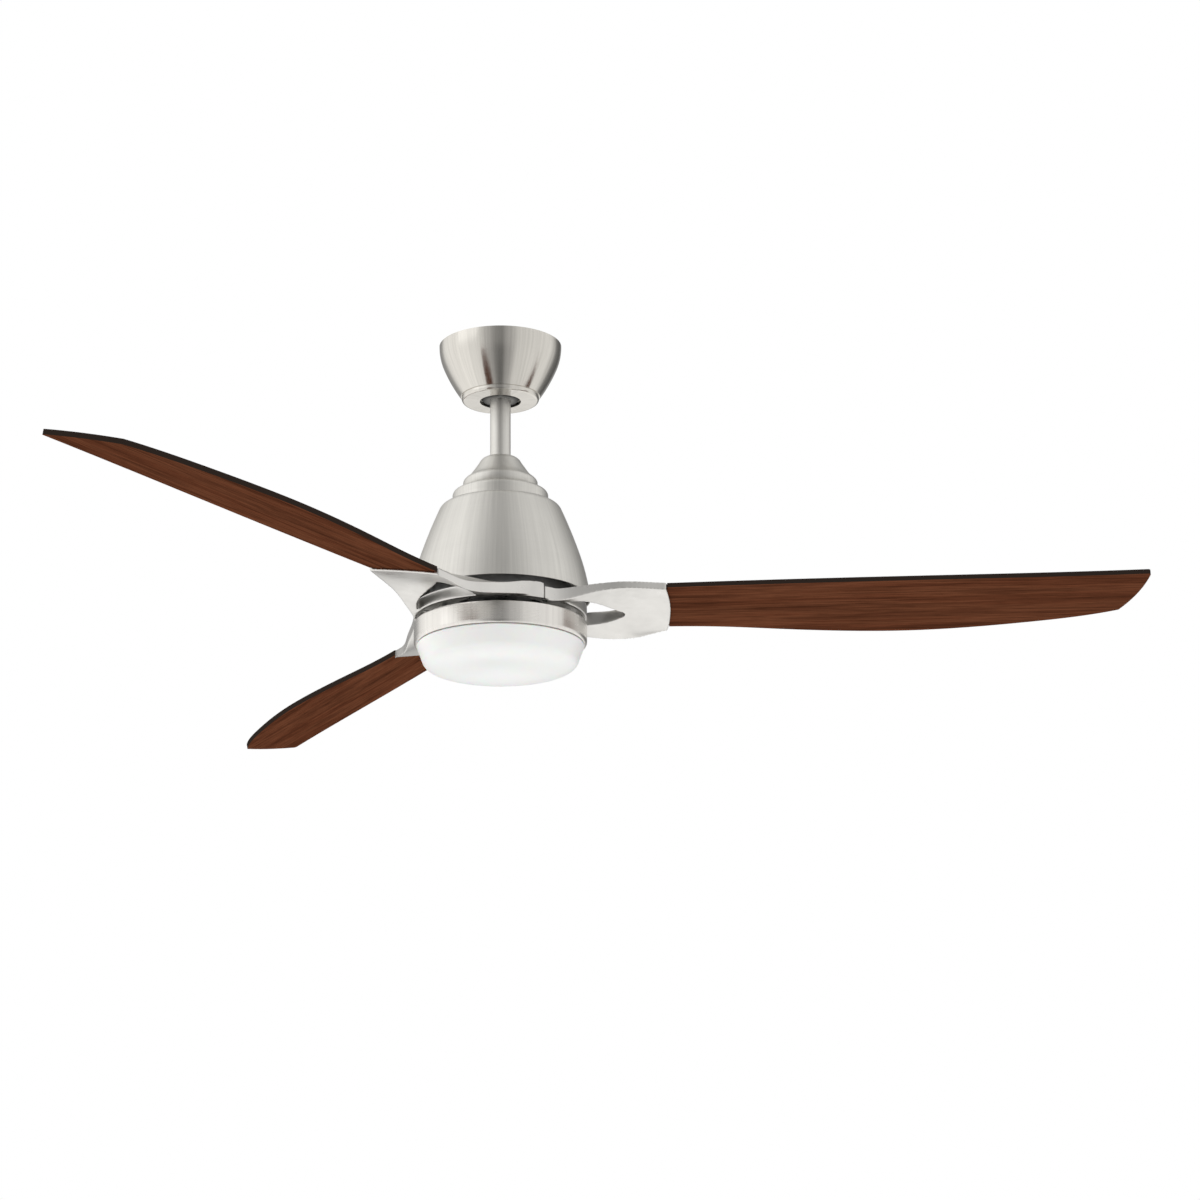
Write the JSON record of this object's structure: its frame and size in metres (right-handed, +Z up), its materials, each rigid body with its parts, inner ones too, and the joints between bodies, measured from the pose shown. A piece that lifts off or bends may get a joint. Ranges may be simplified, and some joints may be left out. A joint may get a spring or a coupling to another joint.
{
  "type": "ceiling fan with light",
  "caption": "Ceiling fan on a short rod, with bell-shaped motor housing, pitched wooden blades on pierced metal arms, and a shallow round glass light below.",
  "frame": {"origin": "in the ceiling plane, midway between the two outlet box screws, on the rod's axis", "axes": "+Z up into the ceiling, +X along the hanger bracket from one box screw to the other, +Y completes the right-handed frame"},
  "size_m": [1.2214, 1.3231, 0.407],
  "materials": {
    "brushed_nickel": "satin brushed nickel with fine vertical and turned lines",
    "cast_nickel": "satin nickel over a smooth die casting",
    "walnut": "dark reddish walnut, satin lacquer, straight grain along the blade",
    "opal_glass": "opal white glass, frosted outside",
    "zinc_steel": "bright zinc plated",
    "green_screw": "green plated screw",
    "grey_ball": "moulded light grey",
    "black_plastic": "moulded black",
    "cast_steel": "machined cast iron",
    "cast_aluminium": "die cast",
    "magnet_ring": "dark magnet ring",
    "lamination_steel": "stacked sheet steel",
    "copper_winding": "enamelled copper wire",
    "bearing_steel": "ground steel",
    "white_enamel": "white reflective enamel",
    "led_phosphor": "yellow phosphor",
    "driver_case": "moulded white case",
    "lead_sleeve": "black fibre sleeve over the leads",
    "fibre_washer": "dark fibre washer"
  },
  "bodies": {
    "ceiling_mount": {"hanger_bracket": "zinc_steel", "ground_screw": "green_screw", "remote_receiver": "black_plastic", "canopy": "brushed_nickel", "canopy_screws": "zinc_steel", "canopy_cap": "brushed_nickel"},
    "pendant": {"hanger_ball": "grey_ball", "ball_pin": "zinc_steel", "ball_set_screw": "zinc_steel", "downrod": "brushed_nickel", "coupling_cover": "brushed_nickel", "upper_collar": "brushed_nickel", "motor_yoke": "cast_steel", "clevis_pin": "zinc_steel", "hairpin_clip": "zinc_steel", "yoke_set_screws": "zinc_steel", "motor_housing": "brushed_nickel", "housing_screws": "zinc_steel", "motor_shaft": "cast_steel", "stator_core": "lamination_steel", "stator_windings": "copper_winding", "upper_bearing_inner_race": "bearing_steel", "lower_bearing_inner_race": "bearing_steel", "light_plate": "zinc_steel", "shaft_nut": "zinc_steel", "light_pan": "brushed_nickel", "light_pan_screws": "zinc_steel", "tray_standoffs": "zinc_steel", "led_tray": "white_enamel", "led_board": "white_enamel", "led_chips": "led_phosphor", "board_screws": "zinc_steel", "led_driver": "driver_case", "lead_harness": "lead_sleeve", "harness_plug": "black_plastic"},
    "rotor": {"upper_bearing_outer_race": "bearing_steel", "lower_bearing_outer_race": "bearing_steel", "bearing_balls": "bearing_steel", "rotor_top": "cast_aluminium", "rotor_bottom": "cast_aluminium", "rotor_ring": "magnet_ring", "rotor_screws": "zinc_steel", "blade_arm_1": "cast_nickel", "blade_arm_2": "cast_nickel", "blade_arm_3": "cast_nickel", "blade_1": "walnut", "blade_2": "walnut", "blade_3": "walnut", "blade_screws": "zinc_steel", "blade_washers": "fibre_washer", "arm_screws": "zinc_steel"},
    "glass": {"glass_shade": "opal_glass"}
  },
  "joints": [
    {"name": "ball_swing", "type": "hinge", "parent": "ceiling_mount", "child": "pendant", "pos_m": [0, 0, -0.048], "axis": [1, 0, 0], "range_deg": [-18, 18]},
    {"name": "rotor_spin", "type": "hinge", "parent": "pendant", "child": "rotor", "pos_m": [0, 0, -0.295], "axis": [0, 0, 1], "continuous": true},
    {"name": "glass_twist", "type": "hinge", "parent": "pendant", "child": "glass", "pos_m": [0, 0, -0.37], "axis": [0, 0, 1], "range_deg": [0, 15]}
  ]
}
